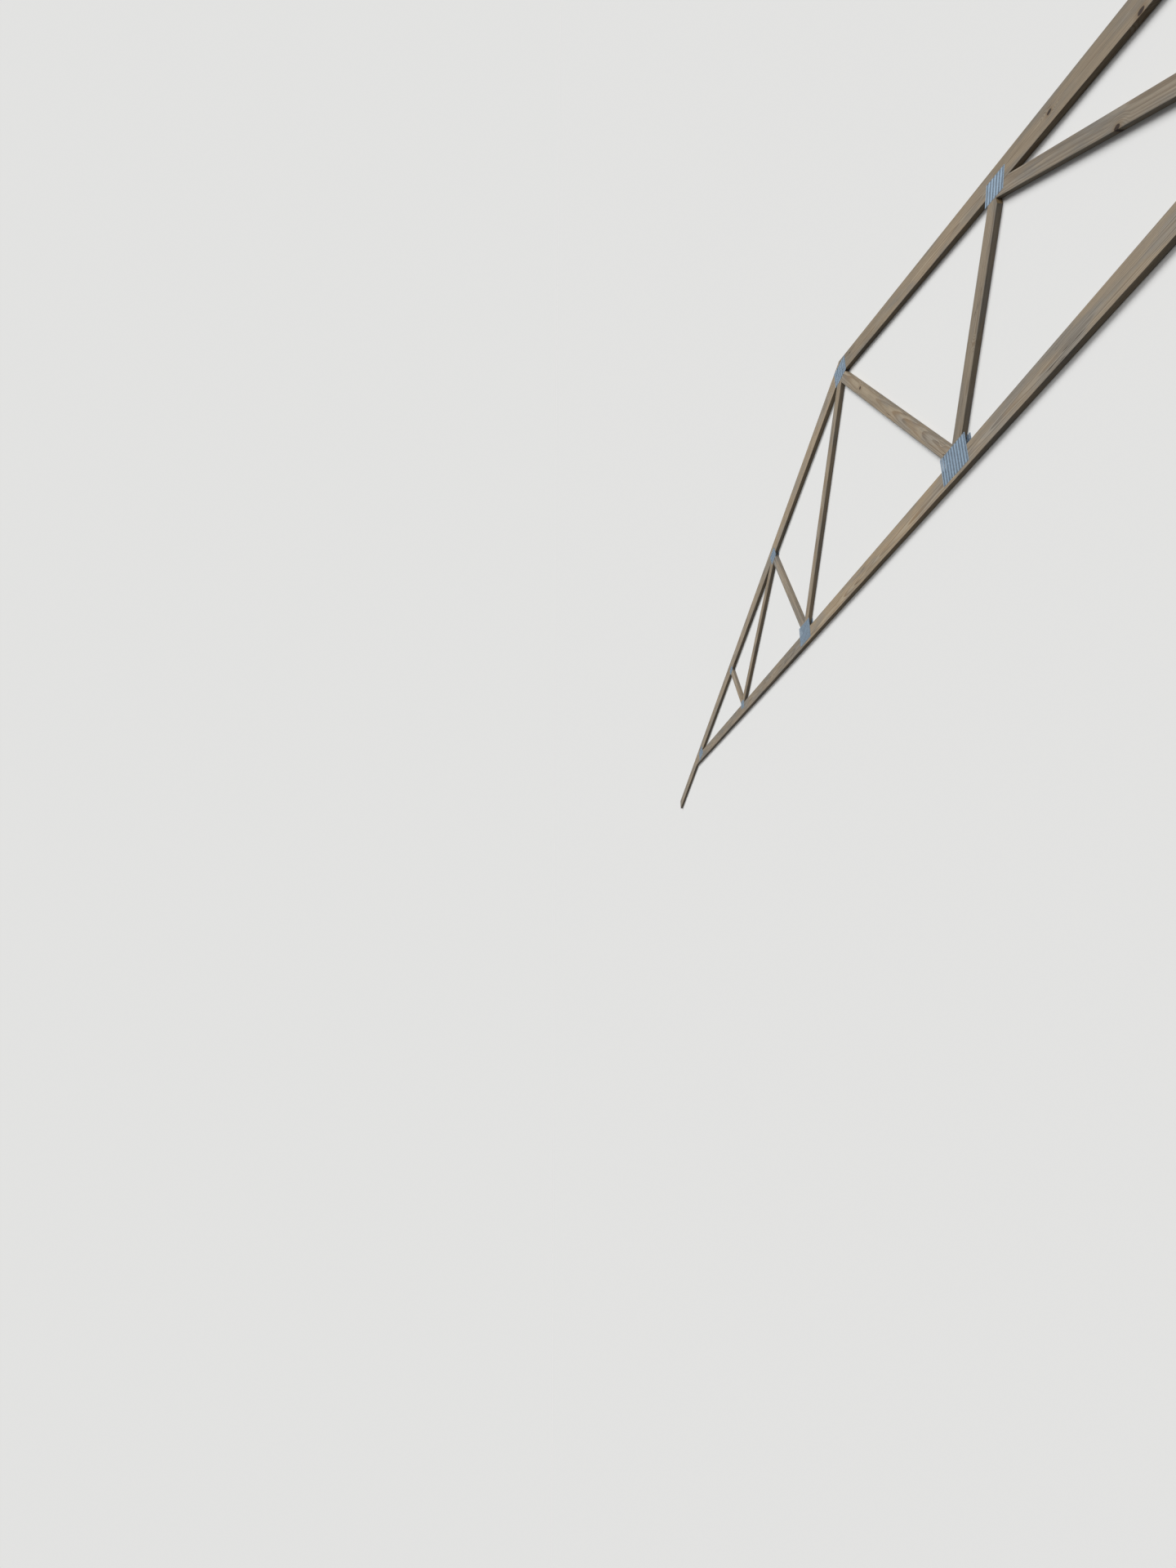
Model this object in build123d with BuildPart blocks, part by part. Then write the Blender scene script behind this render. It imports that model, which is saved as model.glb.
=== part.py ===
from build123d import *
import math
import os

# A forty-foot double Fink roof truss of two-by lumber, joined by punched steel nail plates.
# It lies flat: X runs along the span, Y points from the bottom chord to the peak, Z is up
# through the lumber. The origin is the middle of its footprint, at the underside of the
# plates that it lies on. In the outlines below, x is measured from midspan and the height
# from the bottom chord's lower edge.

# Outline of the truss
span = 12192.0
overhang = 1524.0
heel_butt = 6.0
roof_pitch = 4 / 12

# Lumber
lumber_thickness = 38.1
top_chord_depth = 139.7
bottom_chord_depth = 139.7
web_depth = 88.9
eased_edge = 3.0

# Panel points, level distances from midspan: 4, 11, 6 1/6 and 12 1/3 feet
splice_joint = 1219.2
outer_bottom_joint = 3352.8
inner_top_joint = 1879.6
outer_top_joint = 3759.2

# Nail plates: length along the chord by width, and how far each plate's middle lies on the
# chord, measured from the chord's inner edge
plate_thickness = 0.9

peak_plate_length = 203.2
peak_plate_width = 152.4
peak_plate_lap = 34.0

inner_top_plate_length = 152.4
inner_top_plate_width = 127.0
inner_top_plate_lap = 18.0

outer_top_plate_length = 127.0
outer_top_plate_width = 76.2
outer_top_plate_lap = 10.0

splice_plate_length = 254.0
splice_plate_width = 203.2
splice_plate_lap = 12.0

outer_bottom_plate_length = 127.0
outer_bottom_plate_width = 101.6
outer_bottom_plate_lap = 12.0

heel_plate_length = 254.0
heel_plate_width = 152.4
heel_plate_lap = 5.0
heel_plate_setback = 330.0

# Punched slots of the nail plates. A real plate has a row every quarter inch; every eighth
# row is cut here.
slot_length = 12.7
slot_width = 3.2
slot_pitch = 25.4
slot_row_pitch = 50.8
plate_rim = 3.0

# Sizes that follow from those above
half_span = span / 2
slope = math.atan(roof_pitch)
top_chord_plumb_depth = top_chord_depth / math.cos(slope)
peak_height = heel_butt + half_span * roof_pitch + top_chord_plumb_depth
tail_end = half_span + overhang
scarf_start = half_span - (bottom_chord_depth - heel_butt) / roof_pitch
web_overrun = 4 * web_depth


def roof_line(x):
    """Height of the top chords' upper edge."""
    return peak_height - abs(x) * roof_pitch


def underside_line(x):
    """Height of the top chords' lower edge."""
    return roof_line(x) - top_chord_plumb_depth


# The truss is centred on its footprint, between the peak and the tips of the tails
footprint_middle = (roof_line(0) + underside_line(tail_end)) / 2
lumber_plane = Plane(origin=(0, -footprint_middle, plate_thickness))
plate_levels = {"back": 0.0, "front": plate_thickness + lumber_thickness}

os.makedirs("parts", exist_ok=True)

# Top chords: a short upper piece from the peak and a long lower piece out to the tail, with a
# square butt joint at the inner panel point and plumb cuts at both ends
splice_foot = inner_top_joint - top_chord_depth * math.sin(slope) / 2
splice_head = splice_foot + top_chord_depth * math.sin(slope)
splice_head_height = underside_line(splice_foot) + top_chord_depth * math.cos(slope)

for side_name, side in (("left", -1), ("right", 1)):
    pieces = {
        "upper": [
            (0, underside_line(0)),
            (side * splice_foot, underside_line(splice_foot)),
            (side * splice_head, splice_head_height),
            (0, roof_line(0)),
        ],
        "lower": [
            (side * splice_foot, underside_line(splice_foot)),
            (side * tail_end, underside_line(tail_end)),
            (side * tail_end, roof_line(tail_end)),
            (side * splice_head, splice_head_height),
        ],
    }
    chord_axis = Axis((0, 0, 0), (side * math.cos(slope), -math.sin(slope), 0))
    for piece_name, corners in pieces.items():
        with BuildPart() as top_chord:
            with BuildSketch(lumber_plane):
                with BuildLine():
                    Polyline(*corners, close=True)
                make_face()
            extrude(amount=lumber_thickness)
            fillet(top_chord.edges().filter_by(chord_axis), eased_edge)
        name = f"top_chord_{piece_name}_{side_name}"
        top_chord.part.label = name
        export_step(top_chord.part, f"parts/{name}.step")

# Bottom chord: a middle piece between the two splices, and an outer piece each side whose
# end is scarf cut to the slope under the top chord
with BuildPart() as bottom_chord_middle:
    with BuildSketch(lumber_plane):
        Rectangle(2 * splice_joint, bottom_chord_depth, align=(Align.CENTER, Align.MIN))
    extrude(amount=lumber_thickness)
    fillet(bottom_chord_middle.edges().filter_by(Axis.X), eased_edge)
bottom_chord_middle.part.label = "bottom_chord_middle"
export_step(bottom_chord_middle.part, "parts/bottom_chord_middle.step")

for side_name, side in (("left", -1), ("right", 1)):
    with BuildPart() as bottom_chord:
        with BuildSketch(lumber_plane):
            with BuildLine():
                Polyline(
                    (side * splice_joint, 0),
                    (side * half_span, 0),
                    (side * half_span, heel_butt),
                    (side * scarf_start, bottom_chord_depth),
                    (side * splice_joint, bottom_chord_depth),
                    close=True,
                )
            make_face()
        extrude(amount=lumber_thickness)
        fillet(bottom_chord.edges().filter_by(Axis.X), eased_edge)
    name = f"bottom_chord_{side_name}"
    bottom_chord.part.label = name
    export_step(bottom_chord.part, f"parts/{name}.step")

# Webs: a strip of lumber from joint to joint, double cut to the chords' edges and to the
# plumb lines where two webs meet, which bound its bay. The outer web has no neighbour at its
# top, so its bay runs on, halfway to where the chords meet.
outer_bay_end = (outer_top_joint + scarf_start) / 2

for side_name, side in (("left", -1), ("right", 1)):
    for web_name, foot_x, head_x, bay_start, bay_end in (
        ("peak_web", splice_joint, 0, 0, splice_joint),
        ("inner_web", splice_joint, inner_top_joint, splice_joint, inner_top_joint),
        ("middle_web", outer_bottom_joint, inner_top_joint, inner_top_joint, outer_bottom_joint),
        ("outer_web", outer_bottom_joint, outer_top_joint, outer_bottom_joint, outer_bay_end),
    ):
        run = side * (head_x - foot_x)
        rise = underside_line(head_x) - bottom_chord_depth
        strip_middle = (side * (foot_x + head_x) / 2, bottom_chord_depth + rise / 2)
        with BuildPart() as web:
            with BuildSketch(lumber_plane):
                with Locations(strip_middle):
                    Rectangle(
                        math.hypot(run, rise) + web_overrun,
                        web_depth,
                        rotation=math.degrees(math.atan2(rise, run)),
                    )
                with BuildLine():
                    Polyline(
                        (side * bay_start, bottom_chord_depth),
                        (side * bay_end, bottom_chord_depth),
                        (side * bay_end, underside_line(bay_end)),
                        (side * bay_start, underside_line(bay_start)),
                        close=True,
                    )
                make_face(mode=Mode.INTERSECT)
            extrude(amount=lumber_thickness)
            fillet(web.edges().filter_by(Axis((0, 0, 0), (run, rise, 0))), eased_edge)
        name = f"{web_name}_{side_name}"
        web.part.label = name
        export_step(web.part, f"parts/{name}.step")


def export_plates(name, x, chord_edge, inward, turn, length, width, lap):
    """Write the front and back plates of one joint, turned in line with its chord."""
    middle_x = x + lap * inward[0]
    middle_height = chord_edge + lap * inward[1]
    columns = 1 + int((length - 2 * plate_rim - slot_length) / slot_pitch)
    rows = 1 + int((width - 2 * plate_rim - slot_width) / slot_row_pitch)
    for face_name, level in plate_levels.items():
        plate_plane = Plane(
            origin=(middle_x, middle_height - footprint_middle, level),
            x_dir=(math.cos(turn), math.sin(turn), 0),
        )
        with BuildPart() as plate:
            with BuildSketch(plate_plane):
                Rectangle(length, width)
                with GridLocations(slot_pitch, slot_row_pitch, columns, rows):
                    Rectangle(slot_length, slot_width, mode=Mode.SUBTRACT)
            extrude(amount=plate_thickness)
        node = f"{name}_{face_name}"
        plate.part.label = node
        export_step(plate.part, f"parts/{node}.step")


# Nail plates: one on each face of every joint
export_plates(
    "peak_plate", 0, underside_line(0), (0, 1), 0, peak_plate_length, peak_plate_width, peak_plate_lap
)

for side_name, side in (("left", -1), ("right", 1)):
    turn = -side * slope
    into_top_chord = (side * math.sin(slope), math.cos(slope))
    into_bottom_chord = (0, -1)
    heel_x = half_span - heel_plate_setback
    export_plates(
        f"inner_top_plate_{side_name}",
        side * inner_top_joint,
        underside_line(inner_top_joint),
        into_top_chord,
        turn,
        inner_top_plate_length,
        inner_top_plate_width,
        inner_top_plate_lap,
    )
    export_plates(
        f"outer_top_plate_{side_name}",
        side * outer_top_joint,
        underside_line(outer_top_joint),
        into_top_chord,
        turn,
        outer_top_plate_length,
        outer_top_plate_width,
        outer_top_plate_lap,
    )
    export_plates(
        f"splice_plate_{side_name}",
        side * splice_joint,
        bottom_chord_depth,
        into_bottom_chord,
        0,
        splice_plate_length,
        splice_plate_width,
        splice_plate_lap,
    )
    export_plates(
        f"outer_bottom_plate_{side_name}",
        side * outer_bottom_joint,
        bottom_chord_depth,
        into_bottom_chord,
        0,
        outer_bottom_plate_length,
        outer_bottom_plate_width,
        outer_bottom_plate_lap,
    )
    export_plates(
        f"heel_plate_{side_name}",
        side * heel_x,
        underside_line(heel_x),
        into_top_chord,
        turn,
        heel_plate_length,
        heel_plate_width,
        heel_plate_lap,
    )
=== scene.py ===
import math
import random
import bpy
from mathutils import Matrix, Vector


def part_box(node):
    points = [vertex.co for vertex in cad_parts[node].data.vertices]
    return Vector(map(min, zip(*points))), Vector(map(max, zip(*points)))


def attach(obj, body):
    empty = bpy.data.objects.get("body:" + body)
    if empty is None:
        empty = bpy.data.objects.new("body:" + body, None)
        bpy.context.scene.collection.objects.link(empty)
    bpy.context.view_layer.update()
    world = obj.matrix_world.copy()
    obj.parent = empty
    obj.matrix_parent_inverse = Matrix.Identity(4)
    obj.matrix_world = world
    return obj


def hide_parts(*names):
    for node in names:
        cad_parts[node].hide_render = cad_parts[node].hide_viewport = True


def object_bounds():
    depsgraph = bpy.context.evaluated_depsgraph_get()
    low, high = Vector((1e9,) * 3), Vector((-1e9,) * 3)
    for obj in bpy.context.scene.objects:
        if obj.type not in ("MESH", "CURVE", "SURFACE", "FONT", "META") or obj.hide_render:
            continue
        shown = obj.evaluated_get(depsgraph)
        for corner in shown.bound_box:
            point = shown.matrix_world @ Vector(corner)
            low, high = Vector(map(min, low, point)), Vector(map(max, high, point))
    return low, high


bl_info = {
    "name": "Wooden roof truss",
    "version": (1, 0, 0),
    "blender": (4, 5, 0),
    "location": "View3D > Sidebar > Truss",
    "description": "Dresses a plated roof truss: its boards, its punched nail plates and its studio",
    "category": "Object",
}

import bpy
from mathutils import Matrix, Vector
from mathutils.bvhtree import BVHTree

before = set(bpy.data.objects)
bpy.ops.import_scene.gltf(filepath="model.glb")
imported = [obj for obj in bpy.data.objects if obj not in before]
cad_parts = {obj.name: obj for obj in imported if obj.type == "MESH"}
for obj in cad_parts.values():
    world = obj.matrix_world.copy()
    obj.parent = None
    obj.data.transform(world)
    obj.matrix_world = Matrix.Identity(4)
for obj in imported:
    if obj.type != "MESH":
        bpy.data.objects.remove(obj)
cad_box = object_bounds()

# The truss lies flat, so its front face looks up: X runs along the span, Y to the peak. Lengths
# are in metres.

ROOT = "root"
SLOPE = math.atan(4 / 12)
BOARD_DEPTHS = {"chord": 0.1397, "web": 0.0889}
CHORD_PLUMB_DEPTH = BOARD_DEPTHS["chord"] / math.cos(SLOPE)
EASED_EDGE = 0.003

# Level distance from midspan to the foot and to the head of each web
WEB_RUNS = {
    "peak_web": (1.2192, 0.0),
    "inner_web": (1.2192, 1.8796),
    "middle_web": (3.3528, 1.8796),
    "outer_web": (3.3528, 3.7592),
}

# Length along the chord and width of each kind of nail plate
PLATE_SIZES = {
    "peak_plate": (0.2032, 0.1524),
    "inner_top_plate": (0.1524, 0.127),
    "outer_top_plate": (0.127, 0.0762),
    "splice_plate": (0.254, 0.2032),
    "outer_bottom_plate": (0.127, 0.1016),
    "heel_plate": (0.254, 0.1524),
}
SLOPED_PLATES = ("inner_top_plate", "outer_top_plate", "heel_plate")

# The bend at a tooth's root, in steps inward and down, as shares of its radius
ROOT_BEND = ((0.72, 0.28), (0.28, 0.72), (0.0, 0.9))
ROOT_DROP = sum(down for inward, down in ROOT_BEND)

# The rest of the tooth, in steps: the share of its length, and what is left of its width
TOOTH_TAPER = ((0.3, 0.9), (0.4, 0.6), (0.3, 0.2))

# How far the tooth leans aside at each of those steps, as a share of its slot's width
TOOTH_LEAN = 0.12

# Points nearer than this are in one place
TOUCHING = 1e-5

# Knots that stand out, by their place on the truss and their radius
KNOWN_KNOTS = {
    "peak_web_right": [(0.279, 0.778, 0.011)],
    "middle_web_right": [(2.560, -0.064, 0.014)],
    "top_chord_lower_right": [(2.282, 0.507, 0.012), (2.76, 0.295, 0.014)],
}

# What a distance along, across and through the board counts for: a knot is longest through it
KNOT_SHAPE = (0.8, 1.0, 0.15)

# The same for the scattered knots, then their spacing and their least and greatest radius
SCATTER_SHAPE = (0.9, 1.0, 0.12)
SCATTER_SPACING = 0.24
SCATTER_RADII = (0.0012, 0.013)

# No scattered knot shows within the first distance of a listed one, and past the second all do.
# One that doesn't show counts as this many radii further off.
KNOT_CLEARANCE = (0.25, 0.45)
HIDDEN_BY = 6.0

# A board's pith: how far to either side of its middle it may lie, the least and the most that it
# lies above or below it, and how far it may turn up or down and aside, in radians
PITH_ASIDE = 0.03
PITH_DEPTH = (0.045, 0.11)
PITH_TILT = (0.02, 0.008)

# The first board's seed, the step to the next board's, and how far a board's patterns may shift
FIRST_SEED = 3
SEED_STEP = 17
PATTERN_SHIFT = 90

# Ripples left by the planer, along the board, and by the saw, across its ends, in radians a metre
PLANER_RIPPLE = 1250.0
SAW_RIPPLE = 2600.0

# Width of the camera's frame in millimetres, and the nearest and farthest it sees in metres
FRAME_WIDTH = 36.0
CAMERA_REACH = (0.05, 2000.0)


# Node building

def add(tree, kind, inputs=None, **attributes):
    """Add a node and fill its inputs with values or links."""
    made = tree.nodes.new(kind)
    for key, value in attributes.items():
        setattr(made, key, value)
    for key, value in (inputs or {}).items():
        if isinstance(value, bpy.types.NodeSocket):
            tree.links.new(value, made.inputs[key])
        else:
            made.inputs[key].default_value = value
    return made


def maths(tree, operation, first, second=0.0):
    return add(tree, "ShaderNodeMath", {0: first, 1: second}, operation=operation).outputs[0]


def vector_maths(tree, operation, first, second=(0, 0, 0)):
    made = add(tree, "ShaderNodeVectorMath", {0: first, 1: second}, operation=operation)
    return made.outputs["Value" if operation in {"LENGTH", "DOT_PRODUCT"} else "Vector"]


def split(tree, vector):
    """The three numbers of a vector."""
    return add(tree, "ShaderNodeSeparateXYZ", {0: vector}).outputs


def remap(tree, value, low, high, to_low=0.0, to_high=1.0):
    """Bring a value from one range into another, with soft ends."""
    inputs = {"Value": value, "From Min": low, "From Max": high, "To Min": to_low, "To Max": to_high}
    return add(tree, "ShaderNodeMapRange", inputs, interpolation_type="SMOOTHSTEP").outputs[0]


def blend(tree, factor, first, second, mode="MIX"):
    """Mix two colours."""
    inputs = {0: factor, 6: first, 7: second}
    return add(tree, "ShaderNodeMix", inputs, data_type="RGBA", blend_type=mode).outputs[2]


def measured_from(tree, place, origin, turn, unit=(1.0, 1.0, 1.0)):
    """A place measured from an origin, along axes turned about Z, in a unit for each axis."""
    inputs = {"Vector": place, "Location": origin, "Rotation": (0.0, 0.0, turn), "Scale": unit}
    return add(tree, "ShaderNodeMapping", inputs, vector_type="TEXTURE").outputs[0]


def stretched_noise(tree, place, stretch, detail=3.0, roughness=0.5):
    """Noise with a stretched grain: stretch gives how many features fit in a metre each way."""
    scaled = vector_maths(tree, "MULTIPLY", place, stretch)
    inputs = {"Vector": scaled, "Scale": 1.0, "Detail": detail, "Roughness": roughness}
    return add(tree, "ShaderNodeTexNoise", inputs, noise_dimensions="3D")


def wander(tree, place, stretch, extent):
    """A random shift that changes gently from place to place, to some extent each way."""
    noise = stretched_noise(tree, place, stretch, detail=2.0).outputs["Color"]
    centred = vector_maths(tree, "SUBTRACT", noise, (0.5, 0.5, 0.5))
    return vector_maths(tree, "MULTIPLY", centred, extent)


def cells(tree, place, size):
    """Cells of about one size: how far off the middle of each is, in sizes, and its random number."""
    inputs = {"Vector": place, "Scale": 1 / size, "Randomness": 1.0}
    made = add(tree, "ShaderNodeTexVoronoi", inputs, voronoi_dimensions="3D", feature="F1")
    chance = add(tree, "ShaderNodeSeparateColor", {0: made.outputs["Color"]}).outputs[0]
    return made.outputs["Distance"], chance


def paint(colour, scale=1.0):
    """A colour setting as four numbers, made lighter or darker."""
    return (colour[0] * scale, colour[1] * scale, colour[2] * scale, 1.0)


def bare_material(name):
    """A new material with no nodes yet."""
    material = bpy.data.materials.new(name)
    material.use_nodes = True
    material.node_tree.nodes.clear()
    return material


def surface(tree, shader):
    """Make a shader the surface of its material."""
    output = add(tree, "ShaderNodeOutputMaterial", {"Surface": shader.outputs[0]})
    output.is_active_output = True


# Lumber

def board_names(start=""):
    """The boards whose name starts so, in order."""
    return sorted(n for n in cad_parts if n.startswith(start) and "plate" not in n)


def web_run(name):
    """The level distances of a web's foot and head, or nothing for a chord piece."""
    return WEB_RUNS.get(name.rsplit("_", 1)[0])


def bottom_chord_top():
    """Height of the bottom chord's upper edge."""
    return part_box("bottom_chord_middle")[1].y


def roof_underside(x):
    """Height of the top chords' lower edge at a level distance from midspan."""
    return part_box("top_chord_upper_right")[1].y - CHORD_PLUMB_DEPTH - x * math.tan(SLOPE)


def board_line(name):
    """A point on the middle line of a board, and the turn of its grain about Z."""
    low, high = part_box(name)
    middle = (low + high) / 2
    side = 1 if name.endswith("right") else -1
    run = web_run(name)
    if run:
        foot, head = run
        rise = roof_underside(head) - bottom_chord_top()
        middle.x = side * (foot + head) / 2
        middle.y = bottom_chord_top() + rise / 2
        return middle, math.atan2(rise, side * (head - foot))
    if name.startswith("top_chord"):
        middle.y = roof_underside(abs(middle.x)) + CHORD_PLUMB_DEPTH / 2
        return middle, -side * SLOPE
    return middle, 0.0


def board_section(name):
    """Half the depth and half the thickness of a board."""
    low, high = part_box(name)
    kind = "web" if web_run(name) else "chord"
    return BOARD_DEPTHS[kind] / 2, (high.z - low.z) / 2


def listed_knots(name):
    """The knots that stand out on a board, along and across it from its middle, and their radius."""
    middle, turn = board_line(name)
    knots = []
    for x, y, radius in KNOWN_KNOTS.get(name, []):
        offset = Matrix.Rotation(-turn, 2) @ Vector((x - middle.x, y - middle.y))
        knots.append((offset.x, offset.y, radius))
    return knots


def knot_distance(tree, board, spread, name):
    """How many radii away the nearest knot is. Scattered small knots keep clear of the listed ones."""
    waver = wander(tree, spread, (45.0, 60.0, 20.0), (0.007, 0.007, 0.0))
    board = vector_maths(tree, "ADD", board, waver)
    spread = vector_maths(tree, "ADD", spread, waver)
    scatter = vector_maths(tree, "MULTIPLY", spread, SCATTER_SHAPE)
    from_middle, chance = cells(tree, scatter, SCATTER_SPACING)
    radius = remap(tree, chance, 0.35, 1.0, *SCATTER_RADII)
    nearest = maths(tree, "DIVIDE", maths(tree, "MULTIPLY", from_middle, SCATTER_SPACING), radius)
    listed = []
    for along, across, size in listed_knots(name):
        offset = vector_maths(tree, "SUBTRACT", board, (along, across, 0.0))
        metres = vector_maths(tree, "LENGTH", offset)
        clearance = remap(tree, metres, *KNOT_CLEARANCE, HIDDEN_BY, 0.0)
        nearest = maths(tree, "ADD", nearest, clearance)
        in_radii = vector_maths(tree, "MULTIPLY", offset, [share / size for share in KNOT_SHAPE])
        listed.append(vector_maths(tree, "LENGTH", in_radii))
    for distance in listed:
        nearest = maths(tree, "MINIMUM", nearest, distance)
    return nearest


def under_plates(tree, place, name):
    """One where the wood lies under a nail plate, nought elsewhere: the mask of the dark crushed wood
    and painted shade in the slots.
    """
    low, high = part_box(name)
    covered = 0.0
    for node in sorted(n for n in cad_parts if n.endswith("_front")):
        plate_low, plate_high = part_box(node)
        past_an_end = plate_low.x > high.x or plate_high.x < low.x
        if past_an_end or plate_low.y > high.y or plate_high.y < low.y:
            continue
        length, width = plate_size(node)
        middle = (plate_low + plate_high) / 2
        inside = measured_from(tree, place, middle, plate_turn(node), (length / 2, width / 2, 1.0))
        sides = split(tree, vector_maths(tree, "ABSOLUTE", inside))
        reach = maths(tree, "MAXIMUM", sides[0], sides[1])
        covered = maths(tree, "MAXIMUM", covered, maths(tree, "LESS_THAN", reach, 1.0))
    return covered


def growth_rings(tree, board, spread, to_knot, spacing, dice):
    """How late in its year the wood at a point grew, from rings round a pith beside the board."""
    drift = wander(tree, spread, (0.9, 5.0, 5.0), (0.0, 0.030, 0.030))
    aside = dice.uniform(-PITH_ASIDE, PITH_ASIDE)
    depth = dice.choice((-1, 1)) * dice.uniform(*PITH_DEPTH)
    tilt = [0.0] + [dice.uniform(-reach, reach) for reach in PITH_TILT]
    inputs = {"Vector": board, "Location": (0.0, aside, depth), "Rotation": tilt}
    pith = add(tree, "ShaderNodeMapping", inputs, vector_type="POINT").outputs[0]
    pith = vector_maths(tree, "ADD", pith, drift)
    pith = vector_maths(tree, "MULTIPLY", pith, (0.0, 1.0, 1.0))
    swell = remap(tree, to_knot, 0.6, 4.5, 0.016, 0.0)
    from_pith = maths(tree, "ADD", vector_maths(tree, "LENGTH", pith), swell)
    year = maths(tree, "FRACT", maths(tree, "DIVIDE", from_pith, spacing * dice.uniform(0.8, 1.3)))
    darkening = remap(tree, year, 0.25, 0.86)
    stop = remap(tree, year, 0.9, 0.99, 1.0, 0.0)
    return maths(tree, "MULTIPLY", darkening, stop)


def cracks(tree, spread):
    """Thin checks that follow the grain, in short runs."""
    drift = stretched_noise(tree, spread, (0.8, 24.0, 24.0), detail=2.0).outputs[0]
    off_line = maths(tree, "ABSOLUTE", maths(tree, "SUBTRACT", drift, 0.5))
    line = remap(tree, off_line, 0.002, 0.009, 1.0, 0.0)
    run = stretched_noise(tree, spread, (2.2, 10.0, 10.0), detail=1.0).outputs[0]
    return maths(tree, "MULTIPLY", line, remap(tree, run, 0.56, 0.64))


def scuffs(tree, board, spread, name):
    """Grime and knocks that handling leaves along the arrises, in broken runs."""
    half_depth, half_thickness = board_section(name)
    reach = split(tree, vector_maths(tree, "ABSOLUTE", board))
    on_face = maths(tree, "SUBTRACT", reach[1], half_depth - EASED_EDGE)
    on_edge = maths(tree, "SUBTRACT", reach[2], half_thickness - EASED_EDGE)
    arris = remap(tree, maths(tree, "MINIMUM", on_face, on_edge), -0.004, 0.001)
    broken = stretched_noise(tree, spread, (9.0, 70.0, 70.0), detail=4.0, roughness=0.65).outputs[0]
    return maths(tree, "MULTIPLY", arris, remap(tree, broken, 0.42, 0.62, 0.15, 1.0))


def wood_marks(tree, board, spread, to_knot, name):
    """All that marks a board besides its rings."""
    fleck = stretched_noise(tree, spread, (24.0, 620.0, 620.0), detail=1.0).outputs[0]
    patch = stretched_noise(tree, spread, (2.6, 11.0, 11.0), detail=5.0, roughness=0.6)
    fibre = stretched_noise(tree, spread, (5.0, 300.0, 300.0), detail=5.0, roughness=0.6)
    return {
        "fibre": fibre.outputs[0],
        "broad": stretched_noise(tree, spread, (1.1, 6.0, 6.0), detail=3.0).outputs[0],
        "patch": patch.outputs[0],
        "fleck": remap(tree, fleck, 0.64, 0.72, 0.0, 0.4),
        "scuff": scuffs(tree, board, spread, name),
        "check": cracks(tree, spread),
        "knot": remap(tree, to_knot, 0.85, 1.08, 1.0, 0.0),
    }


def fibre_tone(tree, marks):
    """How light the fibres leave the wood, as a grey."""
    fine = remap(tree, marks["fibre"], 0.3, 0.7, 0.80, 1.14)
    broad = remap(tree, marks["broad"], 0.3, 0.7, 0.86, 1.1)
    tone = maths(tree, "MULTIPLY", fine, broad)
    return add(tree, "ShaderNodeCombineXYZ", {0: tone, 1: tone, 2: tone}).outputs[0]


def greying_pine(tree, latewood, marks, dice):
    """Fresh pine that greys in patches, and some boards more than others."""
    wood = bpy.context.scene.truss_lumber
    tint = 1 + dice.uniform(-1, 1) * wood.tone_spread
    greyed = dice.uniform(-1, 1) * wood.grey_spread
    ring_share = maths(tree, "MULTIPLY", latewood, remap(tree, marks["broad"], 0.3, 0.7, 0.5, 0.95))
    fresh = blend(tree, ring_share, paint(wood.earlywood, tint), paint(wood.latewood, tint))
    pale_grey = paint(wood.weathered, 1.12 * tint)
    dark_grey = paint(wood.weathered, 0.68 * tint)
    grey = blend(tree, ring_share, pale_grey, dark_grey)
    least = max(0.0, 0.27 + greyed)
    most = min(1.0, 0.76 + greyed)
    exposure = remap(tree, marks["patch"], 0.42, 0.66, least, most)
    return blend(tree, exposure, fresh, grey)


def marked_pine(tree, colour, to_knot, marks):
    """Flecks of resin, scuffs, checks and knots laid over the colour of the wood."""
    wood = bpy.context.scene.truss_lumber
    colour = blend(tree, marks["fleck"], colour, paint(wood.latewood, 0.55))
    grime = maths(tree, "MULTIPLY", marks["scuff"], 0.5)
    colour = blend(tree, grime, colour, paint(wood.weathered, 0.55))
    crack = maths(tree, "MULTIPLY", marks["check"], 0.8)
    colour = blend(tree, crack, colour, paint(wood.knot))
    halo = remap(tree, to_knot, 1.0, 2.6, 0.45, 0.0)
    colour = blend(tree, halo, colour, paint(wood.latewood, 0.75))
    rings = maths(tree, "SINE", maths(tree, "MULTIPLY", to_knot, 16.0))
    knot_colour = blend(tree, remap(tree, rings, -1.0, 1.0), paint(wood.knot), paint(wood.knot, 1.7))
    return blend(tree, marks["knot"], colour, knot_colour)


def wood_relief(tree, spread, latewood, marks, sawn_end):
    """Raised latewood, open fibres, checks, the planer's fine ripple and the saw's kerf."""
    directions = split(tree, spread)
    planer = maths(tree, "SINE", maths(tree, "MULTIPLY", directions[0], PLANER_RIPPLE))
    across = maths(tree, "MULTIPLY", directions[1], SAW_RIPPLE)
    unsteady = maths(tree, "MULTIPLY", marks["patch"], 9.0)
    kerf = maths(tree, "SINE", maths(tree, "ADD", across, unsteady))
    height = maths(tree, "MULTIPLY", latewood, 0.35)
    for share, part in (
        (0.26, marks["fibre"]),
        (0.04, planer),
        (0.2, maths(tree, "MULTIPLY", kerf, sawn_end)),
        (-1.6, marks["check"]),
        (0.5, marks["knot"]),
        (-0.3, marks["fleck"]),
        (-0.5, marks["scuff"]),
    ):
        height = maths(tree, "ADD", height, maths(tree, "MULTIPLY", part, share))
    bump = add(tree, "ShaderNodeBump", {"Strength": 0.5, "Distance": 0.0008, "Height": height})
    return bump.outputs[0]


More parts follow.
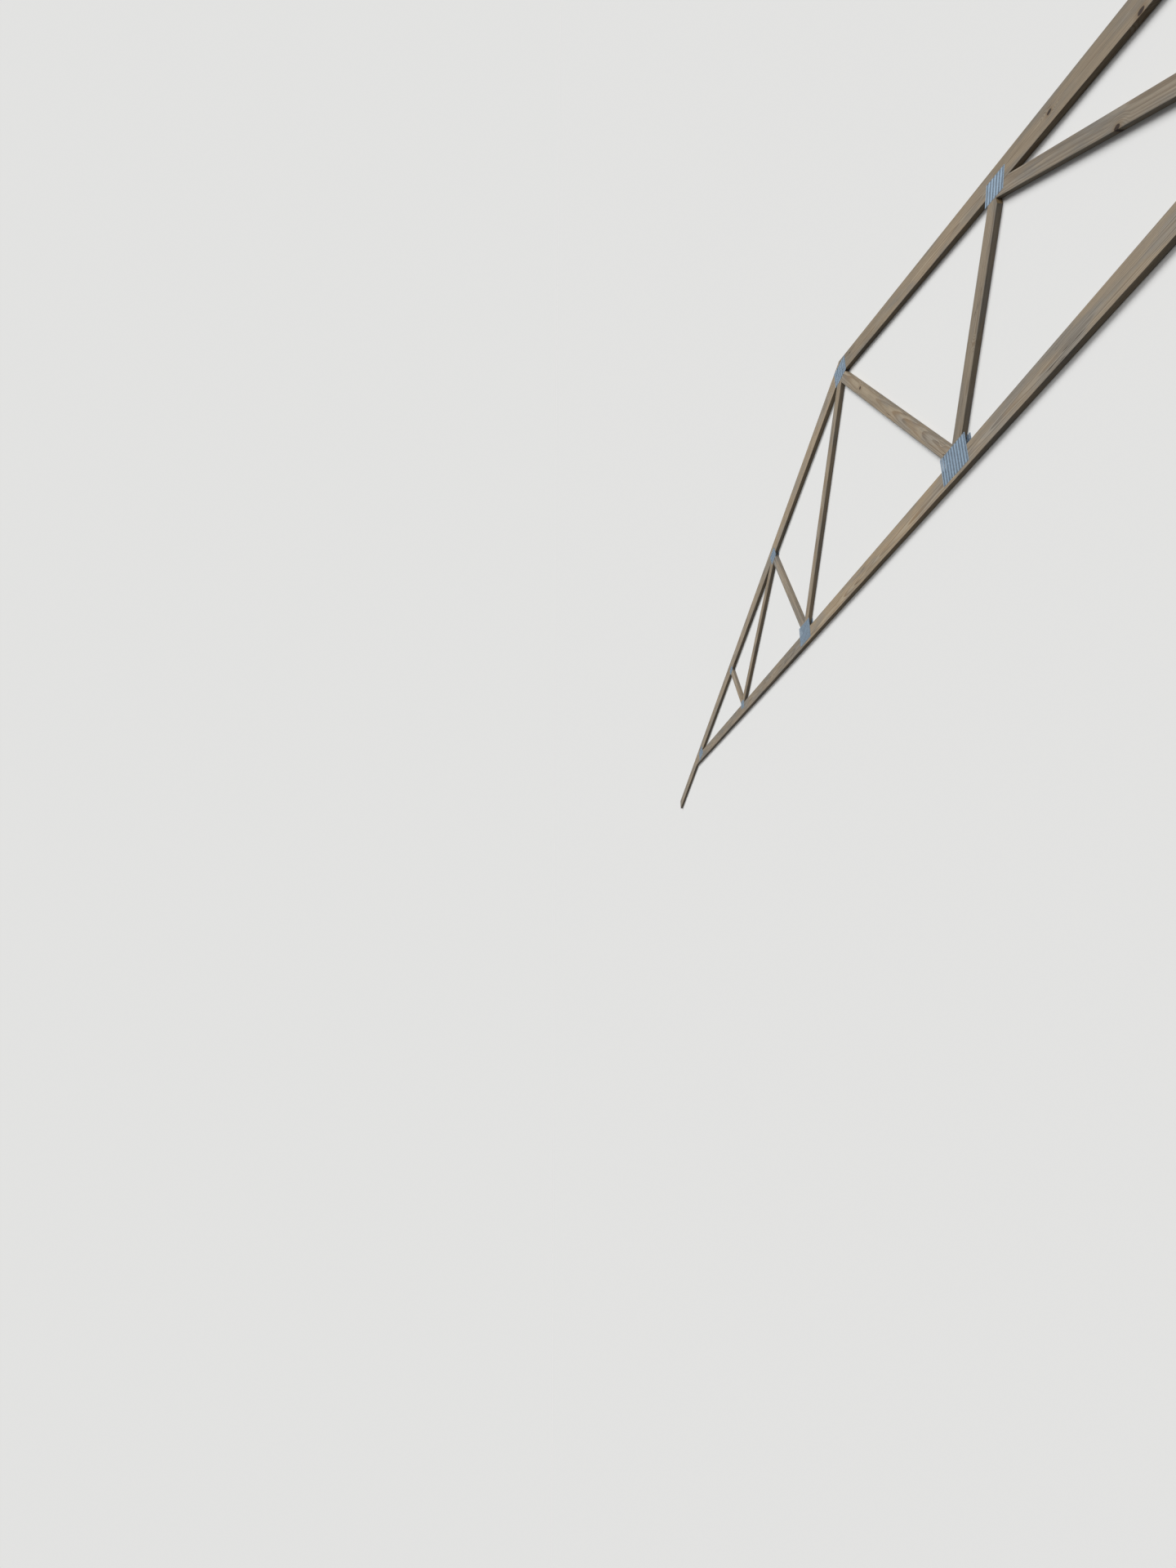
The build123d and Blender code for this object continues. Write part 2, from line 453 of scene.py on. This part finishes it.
def lumber_material(name, number):
    """Flat-sawn pine whose grain runs along one board."""
    wood = bpy.context.scene.truss_lumber
    dice = random.Random(FIRST_SEED + number * SEED_STEP)
    middle, turn = board_line(name)
    material = bare_material(f"pine_{name}")
    tree = material.node_tree

    # Board space runs along the grain, across the face and through the thickness. Each board
    # has its own stretch of the patterns.
    place = add(tree, "ShaderNodeTexCoord").outputs
    board = measured_from(tree, place["Object"], middle, turn)
    shift = [dice.uniform(0, PATTERN_SHIFT) for axis in range(3)]
    spread = vector_maths(tree, "ADD", board, shift)
    to_knot = knot_distance(tree, board, spread, name)
    latewood = growth_rings(tree, board, spread, to_knot, wood.ring_spacing, dice)
    marks = wood_marks(tree, board, spread, to_knot, name)
    tone = fibre_tone(tree, marks)
    colour = greying_pine(tree, latewood, marks, dice)
    colour = blend(tree, 1.0, colour, tone, "MULTIPLY")
    colour = marked_pine(tree, colour, to_knot, marks)

    # Sawn ends, which face along the grain
    grain = (math.cos(turn), math.sin(turn), 0.0)
    facing = maths(tree, "ABSOLUTE", vector_maths(tree, "DOT_PRODUCT", place["Normal"], grain))
    sawn_end = remap(tree, facing, 0.12, 0.28)
    end_colour = blend(tree, latewood, paint(wood.end_grain, 1.15), paint(wood.end_grain, 0.7))
    end_colour = blend(tree, 1.0, end_colour, tone, "MULTIPLY")
    colour = blend(tree, sawn_end, colour, end_colour)

    # The wood that shows through the slots of a plate is painted very dark: partly wood torn by the
    # teeth, partly painted shade in the slots
    flat = maths(tree, "GREATER_THAN", maths(tree, "ABSOLUTE", split(tree, place["Normal"])[2]), 0.7)
    crushed_and_painted_shade = maths(tree, "MULTIPLY", under_plates(tree, place["Object"], name), flat)
    colour = blend(tree, crushed_and_painted_shade, colour, paint(wood.crushed_and_painted_shade))

    roughness = remap(tree, marks["patch"], 0.3, 0.7, 0.6, 0.78)
    roughness = maths(tree, "ADD", roughness, maths(tree, "MULTIPLY", latewood, -0.08))
    inputs = {
        "Base Color": colour,
        "Roughness": roughness,
        "Normal": wood_relief(tree, spread, latewood, marks, sawn_end),
        "Specular IOR Level": 0.15,
    }
    surface(tree, add(tree, "ShaderNodeBsdfPrincipled", inputs))
    return material


def dress_boards(start):
    """Give every board whose name starts so its own pine."""
    names = board_names(start)
    every = board_names()
    if not names:
        raise RuntimeError(f"the frame has no board named {start}")
    for name in names:
        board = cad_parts[name]
        board.data.materials.clear()
        board.data.materials.append(lumber_material(name, every.index(name)))


# Nail plates

def plate_size(node):
    """Length and width of the kind of nail plate that a node is."""
    return next(size for kind, size in PLATE_SIZES.items() if node.startswith(kind))


def plate_turn(node):
    """Turn about Z of a nail plate, which lies in line with its chord."""
    if not node.startswith(SLOPED_PLATES):
        return 0.0
    return -SLOPE if "right" in node else SLOPE


def galvanised_material():
    """Zinc-coated sheet with faint crystals, dull patches and a little waviness from the press. Its
    grey carries a blue tint that is a painted reflection of blue sky.
    """
    zinc = bpy.context.scene.truss_plates
    material = bare_material("galvanised_sheet")
    tree = material.node_tree
    place = add(tree, "ShaderNodeTexCoord").outputs["Object"]
    crystal = cells(tree, place, zinc.crystal_size)[1]
    bloom = stretched_noise(tree, place, (14.0, 14.0, 14.0), detail=5.0, roughness=0.6).outputs[0]
    bloom = remap(tree, bloom, 0.42, 0.70)
    colour = blend(tree, crystal, paint(zinc.zinc, 0.88), paint(zinc.zinc, 1.1))
    colour = blend(tree, maths(tree, "MULTIPLY", bloom, 0.6), colour, paint(zinc.bloom))
    roughness = remap(tree, crystal, 0.0, 1.0, 0.56, 0.68)
    roughness = maths(tree, "ADD", roughness, maths(tree, "MULTIPLY", bloom, 0.12))
    wave = stretched_noise(tree, place, (24.0, 24.0, 24.0), detail=1.0).outputs[0]
    smear = stretched_noise(tree, place, (45.0, 45.0, 45.0), detail=4.0).outputs[0]
    height = maths(tree, "ADD", wave, maths(tree, "MULTIPLY", smear, 0.08))
    bump = add(tree, "ShaderNodeBump", {"Strength": 0.5, "Distance": 0.0012, "Height": height})
    inputs = {
        "Base Color": colour,
        "Roughness": roughness,
        "Metallic": remap(tree, bloom, 0.0, 1.0, 0.85, 0.5),
        "Normal": bump.outputs[0],
    }
    surface(tree, add(tree, "ShaderNodeBsdfPrincipled", inputs))
    return material


def sheared_and_shaded_material():
    """Bare steel where the press cut the sheet, on the walls of the slots: dull, and made darker still
    as painted shade in the slots.
    """
    zinc = bpy.context.scene.truss_plates
    material = bare_material("sheared_edge_painted_shade")
    tree = material.node_tree
    place = add(tree, "ShaderNodeTexCoord").outputs["Object"]
    stain = stretched_noise(tree, place, (120.0, 120.0, 120.0), detail=3.0).outputs[0]
    shade = remap(tree, stain, 0.35, 0.65)
    colour = blend(tree, shade, paint(zinc.sheared_and_shaded, 0.7), paint(zinc.sheared_and_shaded, 1.3))
    roughness = remap(tree, stain, 0.3, 0.7, 0.5, 0.72)
    inputs = {"Base Color": colour, "Roughness": roughness, "Metallic": 0.7}
    surface(tree, add(tree, "ShaderNodeBsdfPrincipled", inputs))
    return material


def deselect(mesh):
    """Select nothing in a mesh, from object mode."""
    for kind in (mesh.vertices, mesh.edges, mesh.polygons):
        for element in kind:
            element.select = False


def select_slot_end(mesh, slot_end):
    """Select only the edge across the slot at one of its ends, from object mode."""
    deselect(mesh)
    for edge in mesh.edges:
        ends = [mesh.vertices[i] for i in edge.vertices]
        if all(abs(vertex.co.x - slot_end) < TOUCHING for vertex in ends):
            edge.select = True
            for vertex in ends:
                vertex.select = True


def roll_tooth(sheet, end):
    """Roll an end of the slot over and down into a tooth, cut slantwise to a point at one side."""
    zinc = bpy.context.scene.truss_plates
    bpy.ops.object.mode_set(mode="OBJECT")
    select_slot_end(sheet.data, end * (zinc.slot_length / 2 + zinc.root_depth))
    bpy.ops.object.mode_set(mode="EDIT")
    for inward, down in ROOT_BEND:
        step = (-end * inward * zinc.root_depth, 0.0, -down * zinc.root_depth)
        bpy.ops.mesh.extrude_edges_move(TRANSFORM_OT_translate={"value": step})
    lean = end * TOOTH_LEAN * zinc.slot_width
    aside = 0.0
    for lower, narrower in TOOTH_TAPER:
        step = (0.0, 0.0, -lower * (zinc.tooth_length - ROOT_DROP * zinc.root_depth))
        bpy.ops.mesh.extrude_edges_move(TRANSFORM_OT_translate={"value": step})
        bpy.ops.transform.resize(value=(1.0, narrower, 1.0), center_override=(0.0, aside, 0.0))
        bpy.ops.transform.translate(value=(0.0, lean, 0.0))
        aside += lean


def repeat(sheet, count, step):
    """Repeat a sheet in a row and join the copies where they touch."""
    bpy.ops.object.modifier_add(type="ARRAY")
    row = sheet.modifiers[-1]
    row.count = count
    row.use_relative_offset = False
    row.use_constant_offset = True
    row.constant_offset_displace = step
    row.use_merge_vertices = True
    row.merge_threshold = TOUCHING
    bpy.ops.object.modifier_apply(modifier=row.name)


def punched_sheet(length, width):
    """The outer face of a plate at the origin, facing up: one slot with its two teeth, repeated."""
    zinc = bpy.context.scene.truss_plates
    columns = round(length / zinc.slot_pitch)
    rows = round(width / zinc.row_pitch)
    bpy.ops.object.select_all(action="DESELECT")
    bpy.ops.mesh.primitive_plane_add(size=1.0)
    sheet = bpy.context.object
    bpy.ops.object.mode_set(mode="EDIT")
    bpy.ops.mesh.select_all(action="SELECT")
    bpy.ops.transform.resize(value=(zinc.slot_pitch, zinc.row_pitch, 1.0))
    rim = (zinc.row_pitch - zinc.slot_width) / 2
    bpy.ops.mesh.inset(thickness=rim, use_even_offset=True)
    shorten = (zinc.slot_length + 2 * zinc.root_depth) / (zinc.slot_pitch - 2 * rim)
    bpy.ops.transform.resize(value=(shorten, 1.0, 1.0))
    bpy.ops.mesh.delete(type="ONLY_FACE")
    bpy.ops.mesh.select_mode(type="EDGE")
    for end in (-1, 1):
        roll_tooth(sheet, end)

    # From the first corner, the slot is repeated along the plate and then across it
    bpy.ops.mesh.select_all(action="SELECT")
    corner = (-(columns - 1) / 2 * zinc.slot_pitch, -(rows - 1) / 2 * zinc.row_pitch, 0.0)
    bpy.ops.transform.translate(value=corner)
    bpy.ops.object.mode_set(mode="OBJECT")
    repeat(sheet, columns, (zinc.slot_pitch, 0, 0))
    repeat(sheet, rows, (0, zinc.row_pitch, 0))
    return sheet


def lumber_tree():
    """One search tree of all the boards, to find what lies in wood."""
    corners = []
    faces = []
    for node in board_names():
        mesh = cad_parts[node].data
        first = len(corners)
        corners += [vertex.co.copy() for vertex in mesh.vertices]
        faces += [[first + i for i in face.vertices] for face in mesh.polygons]
    return BVHTree.FromPolygons(corners, faces)


def cut_buried_teeth(plate, wood):
    """Cut teeth off below their roots where the wood hides them. In open gaps they stay whole."""
    zinc = bpy.context.scene.truss_plates
    mesh = plate.data
    levels = [vertex.co.z for vertex in mesh.vertices]
    face_level = max(levels) if plate.name.endswith("front") else min(levels)
    root_end = ROOT_DROP * zinc.root_depth
    overhead = 2 * cad_box[1].z
    deselect(mesh)
    for face in mesh.polygons:
        depth = min(abs(mesh.vertices[i].co.z - face_level) for i in face.vertices)
        above = Vector((face.center.x, face.center.y, overhead))
        in_wood = wood.ray_cast(above, Vector((0.0, 0.0, -1.0)))[0] is not None
        face.select = depth > root_end - TOUCHING and in_wood
    bpy.ops.object.mode_set(mode="EDIT")
    bpy.ops.mesh.select_mode(type="FACE")
    bpy.ops.mesh.delete(type="FACE")
    bpy.ops.object.mode_set(mode="OBJECT")


def lay_plate(sheet, node, wood, materials):
    """Lay a copy of a sheet where a nail plate of the frame is, outer face away from the wood."""
    zinc = bpy.context.scene.truss_plates
    low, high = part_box(node)
    middle = (low + high) / 2
    front = node.endswith("front")
    plate = sheet.copy()
    plate.data = sheet.data.copy()
    plate.name = f"punched_{node}"
    plate.data.name = plate.name
    bpy.context.scene.collection.objects.link(plate)
    plate.location = (middle.x, middle.y, high.z if front else low.z)
    plate.rotation_euler = (0.0 if front else math.pi, 0.0, plate_turn(node))
    bpy.ops.object.select_all(action="DESELECT")
    plate.select_set(True)
    bpy.context.view_layer.objects.active = plate
    bpy.ops.object.transform_apply(location=True, rotation=True, scale=True)
    cut_buried_teeth(plate, wood)
    for material in materials:
        plate.data.materials.append(material)
    bpy.ops.object.modifier_add(type="SOLIDIFY")
    wall = plate.modifiers[-1]
    wall.thickness = zinc.sheet_thickness
    wall.offset = -1.0
    # The rims, which are the walls of the slots, take the dark cut steel with its painted shade
    wall.material_offset_rim = 1
    bpy.ops.object.modifier_apply(modifier=wall.name)
    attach(plate, ROOT)
    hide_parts(node)


# Stage

def shown_rays(tree):
    """One for rays from the camera, off gloss or through glass, which meet a plain pale backdrop."""
    rays = add(tree, "ShaderNodeLightPath").outputs
    shown = maths(tree, "MAXIMUM", rays["Is Camera Ray"], rays["Is Glossy Ray"])
    return maths(tree, "MAXIMUM", shown, rays["Is Transmission Ray"])


def add_camera(stage):
    """Stand the camera at its place and look through it."""
    bpy.ops.object.select_all(action="DESELECT")
    bpy.ops.object.camera_add(location=stage.camera_place, rotation=stage.camera_turn)
    camera = bpy.context.object
    camera.name = "camera"
    camera.data.lens = stage.lens
    camera.data.sensor_width = FRAME_WIDTH
    camera.data.clip_start, camera.data.clip_end = CAMERA_REACH
    bpy.context.scene.camera = camera


def lay_floor(stage):
    """Lay a plain floor that looks pale and throws little light back on the object."""
    bpy.ops.object.select_all(action="DESELECT")
    bpy.ops.mesh.primitive_plane_add(size=stage.floor_size)
    floor = bpy.context.object
    floor.name = "floor"
    material = bare_material("plain_floor")
    tree = material.node_tree
    pale = add(tree, "ShaderNodeBsdfDiffuse", {"Color": paint(stage.floor_colour)})
    dim = add(tree, "ShaderNodeBsdfDiffuse", {"Color": paint(stage.floor_colour, stage.floor_bounce)})
    inputs = {0: shown_rays(tree), 1: dim.outputs[0], 2: pale.outputs[0]}
    surface(tree, add(tree, "ShaderNodeMixShader", inputs))
    floor.data.materials.append(material)


def floor_light(stage):
    """How brightly the open floor is lit, as a share of what makes a white sheet look white."""
    light = stage.ambient
    lamps = ((stage.key_strength, stage.key_from), (stage.fill_strength, stage.fill_from))
    for strength, towards in lamps:
        light += strength * Vector(towards).normalized().z / math.pi
    return light


def light_world(stage):
    """Light the scene evenly, and show a backdrop that is as bright as the floor."""
    world = bpy.data.worlds.new("studio")
    bpy.context.scene.world = world
    world.use_nodes = True
    tree = world.node_tree
    tree.nodes.clear()
    white = (1.0, 1.0, 1.0, 1.0)
    soft = add(tree, "ShaderNodeBackground", {"Color": white, "Strength": stage.ambient})
    backdrop = paint(stage.floor_colour, floor_light(stage))
    plain = add(tree, "ShaderNodeBackground", {"Color": backdrop, "Strength": 1.0})
    inputs = {0: shown_rays(tree), 1: soft.outputs[0], 2: plain.outputs[0]}
    mixed = add(tree, "ShaderNodeMixShader", inputs)
    add(tree, "ShaderNodeOutputWorld", {"Surface": mixed.outputs[0]})


def add_lamp(name, towards, strength, spread):
    """A distant soft lamp that shines from a direction."""
    bpy.ops.object.select_all(action="DESELECT")
    bpy.ops.object.light_add(type="SUN")
    lamp = bpy.context.object
    lamp.name = name
    lamp.data.energy = strength
    lamp.data.angle = spread
    lamp.rotation_euler = Vector(towards).to_track_quat("Z", "Y").to_euler()


class LumberSettings(bpy.types.PropertyGroup):
    """Colours and grain of the boards."""

    earlywood: bpy.props.FloatVectorProperty(
        name="Earlywood",
        description="Pale wood between the rings",
        subtype="COLOR",
        min=0.0,
        max=1.0,
        default=(0.360, 0.288, 0.198),
    )
    latewood: bpy.props.FloatVectorProperty(
        name="Latewood",
        description="Darker wood of the rings",
        subtype="COLOR",
        min=0.0,
        max=1.0,
        default=(0.225, 0.15, 0.082),
    )
    weathered: bpy.props.FloatVectorProperty(
        name="Weathered",
        description="Wood that has greyed in the open",
        subtype="COLOR",
        min=0.0,
        max=1.0,
        default=(0.228, 0.214, 0.191),
    )
    # Partly wood torn by the teeth, partly painted shade: this colour, not the light, makes the slots
    # read dark
    crushed_and_painted_shade: bpy.props.FloatVectorProperty(
        name="Crushed",
        description="Wood torn by the teeth, seen through the slots",
        subtype="COLOR",
        min=0.0,
        max=1.0,
        default=(0.040, 0.032, 0.026),
    )
    knot: bpy.props.FloatVectorProperty(
        name="Knot",
        description="Dark wood of the knots and surface checks",
        subtype="COLOR",
        min=0.0,
        max=1.0,
        default=(0.024, 0.015, 0.010),
    )
    end_grain: bpy.props.FloatVectorProperty(
        name="End Grain",
        description="Sawn ends",
        subtype="COLOR",
        min=0.0,
        max=1.0,
        default=(0.30, 0.215, 0.125),
    )
    ring_spacing: bpy.props.FloatProperty(
        name="Ring Spacing",
        description="Growth of one year",
        unit="LENGTH",
        min=0.001,
        default=0.0052,
    )
    tone_spread: bpy.props.FloatProperty(
        name="Tone Spread",
        description="How much lighter or darker one board may be than another",
        subtype="FACTOR",
        min=0.0,
        max=1.0,
        default=0.1,
    )
    grey_spread: bpy.props.FloatProperty(
        name="Grey Spread",
        description="How much more or less weathered one board may be than another",
        subtype="FACTOR",
        min=0.0,
        max=1.0,
        default=0.18,
    )


class PlateSettings(bpy.types.PropertyGroup):
    """Sizes and colours of the punched nail plates."""

    sheet_thickness: bpy.props.FloatProperty(
        name="Sheet Thickness",
        description="Thickness of the steel",
        unit="LENGTH",
        min=0.0,
        default=0.0009,
    )
    slot_pitch: bpy.props.FloatProperty(
        name="Slot Pitch",
        description="Spacing of the slots along the plate",
        unit="LENGTH",
        min=0.001,
        default=0.0254,
    )
    row_pitch: bpy.props.FloatProperty(
        name="Row Pitch",
        description="Spacing of the rows of slots",
        unit="LENGTH",
        min=0.001,
        default=0.00635,
    )
    slot_length: bpy.props.FloatProperty(
        name="Slot Length",
        description="Open length of a punched slot",
        unit="LENGTH",
        min=0.001,
        default=0.0127,
    )
    slot_width: bpy.props.FloatProperty(
        name="Slot Width",
        description="Width of a slot and of its teeth",
        unit="LENGTH",
        min=0.001,
        default=0.0032,
    )
    root_depth: bpy.props.FloatProperty(
        name="Tooth Root",
        description="Outer radius of the bend where a tooth leaves the sheet",
        unit="LENGTH",
        min=0.0002,
        default=0.0013,
    )
    tooth_length: bpy.props.FloatProperty(
        name="Tooth Length",
        description="How deep a tooth reaches from the outer face",
        unit="LENGTH",
        min=0.003,
        default=0.0088,
    )
    crystal_size: bpy.props.FloatProperty(
        name="Crystal Size",
        description="Size of the zinc crystals",
        unit="LENGTH",
        min=0.001,
        default=0.009,
    )
    # Zinc grey with a blue tint that is a painted reflection of blue sky; the bloom colour below
    # carries the same painted tint
    zinc: bpy.props.FloatVectorProperty(
        name="Zinc",
        description="Bright zinc",
        subtype="COLOR",
        min=0.0,
        max=1.0,
        default=(0.245, 0.322, 0.405),
    )
    # Partly dull cut steel, partly painted shade on the walls of the slots
    sheared_and_shaded: bpy.props.FloatVectorProperty(
        name="Sheared Edge",
        description="Bare steel at the cut edges",
        subtype="COLOR",
        min=0.0,
        max=1.0,
        default=(0.09, 0.095, 0.10),
    )
    bloom: bpy.props.FloatVectorProperty(
        name="Bloom",
        description="Dull patches of the zinc",
        subtype="COLOR",
        min=0.0,
        max=1.0,
        default=(0.205, 0.268, 0.338),
    )


class StageSettings(bpy.types.PropertyGroup):
    """Floor, lamps and camera."""

    floor_colour: bpy.props.FloatVectorProperty(
        name="Floor",
        description="Colour of the floor and backdrop",
        subtype="COLOR",
        min=0.0,
        max=1.0,
        default=(0.82, 0.82, 0.81),
    )
    floor_bounce: bpy.props.FloatProperty(
        name="Floor Bounce",
        description="Share of its light that the floor throws back on the object",
        subtype="FACTOR",
        min=0.0,
        max=1.0,
        default=0.22,
    )
    floor_size: bpy.props.FloatProperty(
        name="Floor Size",
        description="Width of the floor",
        unit="LENGTH",
        min=1.0,
        default=900.0,
    )
    ambient: bpy.props.FloatProperty(
        name="Ambient",
        description="Even light from all round",
        min=0.0,
        default=0.14,
    )
    key_strength: bpy.props.FloatProperty(
        name="Key Strength",
        description="Strength of the main lamp",
        min=0.0,
        default=2.7,
    )
    key_from: bpy.props.FloatVectorProperty(
        name="Key From",
        description="Direction that the main lamp shines from",
        subtype="DIRECTION",
        default=(0.15, 0.70, 0.70),
    )
    fill_strength: bpy.props.FloatProperty(
        name="Fill Strength",
        description="Strength of the second lamp",
        min=0.0,
        default=0.8,
    )
    fill_from: bpy.props.FloatVectorProperty(
        name="Fill From",
        description="Direction that the second lamp shines from",
        subtype="DIRECTION",
        default=(0.65, 0.05, 0.75),
    )
    softness: bpy.props.FloatProperty(
        name="Softness",
        description="Width of the lamps as seen from the object",
        subtype="ANGLE",
        min=0.0,
        default=math.radians(35),
    )
    lens: bpy.props.FloatProperty(
        name="Lens",
        description="Focal length in millimetres, on a 36 mm frame",
        min=1.0,
        default=14.473,
    )
    camera_place: bpy.props.FloatVectorProperty(
        name="Camera Place",
        description="Where the camera stands",
        subtype="TRANSLATION",
        default=(4.5694, -3.6225, 2.6169),
    )
    camera_turn: bpy.props.FloatVectorProperty(
        name="Camera Turn",
        description="How the camera is turned",
        subtype="EULER",
        default=(math.radians(5.143), math.radians(86.61), math.radians(-7.626)),
    )


class TRUSS_OT_stage(bpy.types.Operator):
    """Set up the floor, the backdrop, the lamps and the camera"""

    bl_idname = "truss.stage"
    bl_label = "Stage"
    bl_options = {"REGISTER", "UNDO"}

    def execute(self, context):
        stage = context.scene.truss_stage
        context.scene.view_settings.view_transform = "Standard"
        add_camera(stage)
        lay_floor(stage)
        light_world(stage)
        add_lamp("key_lamp", stage.key_from, stage.key_strength, stage.softness)
        add_lamp("fill_lamp", stage.fill_from, stage.fill_strength, stage.softness)
        return {"FINISHED"}


class TRUSS_OT_top_chords(bpy.types.Operator):
    """Give the four pieces of the top chords their pine"""

    bl_idname = "truss.top_chords"
    bl_label = "Top Chords"
    bl_options = {"REGISTER", "UNDO"}

    def execute(self, context):
        dress_boards("top_chord")
        return {"FINISHED"}


class TRUSS_OT_bottom_chord(bpy.types.Operator):
    """Give the three pieces of the bottom chord their pine"""

    bl_idname = "truss.bottom_chord"
    bl_label = "Bottom Chord"
    bl_options = {"REGISTER", "UNDO"}

    def execute(self, context):
        dress_boards("bottom_chord")
        return {"FINISHED"}


class TRUSS_OT_webs(bpy.types.Operator):
    """Give the eight webs their pine"""

    bl_idname = "truss.webs"
    bl_label = "Webs"
    bl_options = {"REGISTER", "UNDO"}

    def execute(self, context):
        for kind in WEB_RUNS:
            dress_boards(kind)
        return {"FINISHED"}


class TRUSS_OT_nail_plates(bpy.types.Operator):
    """Punch the nail plates and press one on each face of every joint"""

    bl_idname = "truss.nail_plates"
    bl_label = "Nail Plates"
    bl_options = {"REGISTER", "UNDO"}

    def execute(self, context):
        materials = (galvanised_material(), sheared_and_shaded_material())
        wood = lumber_tree()
        for kind, (length, width) in PLATE_SIZES.items():
            sheet = punched_sheet(length, width)
            for node in sorted(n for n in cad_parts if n.startswith(kind)):
                lay_plate(sheet, node, wood, materials)
            bpy.data.objects.remove(sheet)
        return {"FINISHED"}


class TRUSS_PT_panel(bpy.types.Panel):
    """Everything that dresses the truss."""

    bl_idname = "TRUSS_PT_panel"
    bl_label = "Roof Truss"
    bl_space_type = "VIEW_3D"
    bl_region_type = "UI"
    bl_category = "Truss"

    def draw(self, context):
        scene = context.scene
        for operator in OPERATORS:
            self.layout.operator(operator.bl_idname)
        for label, settings in (
            ("Lumber", scene.truss_lumber),
            ("Plates", scene.truss_plates),
            ("Studio", scene.truss_stage),
        ):
            box = self.layout.box()
            box.label(text=label)
            for name in settings.__annotations__:
                box.prop(settings, name)


OPERATORS = (
    TRUSS_OT_stage,
    TRUSS_OT_top_chords,
    TRUSS_OT_bottom_chord,
    TRUSS_OT_webs,
    TRUSS_OT_nail_plates,
)
CLASSES = (LumberSettings, PlateSettings, StageSettings) + OPERATORS + (TRUSS_PT_panel,)


def register():
    for made in CLASSES:
        bpy.utils.register_class(made)
    bpy.types.Scene.truss_lumber = bpy.props.PointerProperty(type=LumberSettings)
    bpy.types.Scene.truss_plates = bpy.props.PointerProperty(type=PlateSettings)
    bpy.types.Scene.truss_stage = bpy.props.PointerProperty(type=StageSettings)


def unregister():
    del bpy.types.Scene.truss_stage
    del bpy.types.Scene.truss_plates
    del bpy.types.Scene.truss_lumber
    for made in reversed(CLASSES):
        bpy.utils.unregister_class(made)


def main():
    register()
    bpy.ops.truss.stage()
    bpy.ops.truss.top_chords()
    bpy.ops.truss.bottom_chord()
    bpy.ops.truss.webs()
    bpy.ops.truss.nail_plates()


if __name__ == "__main__":
    main()
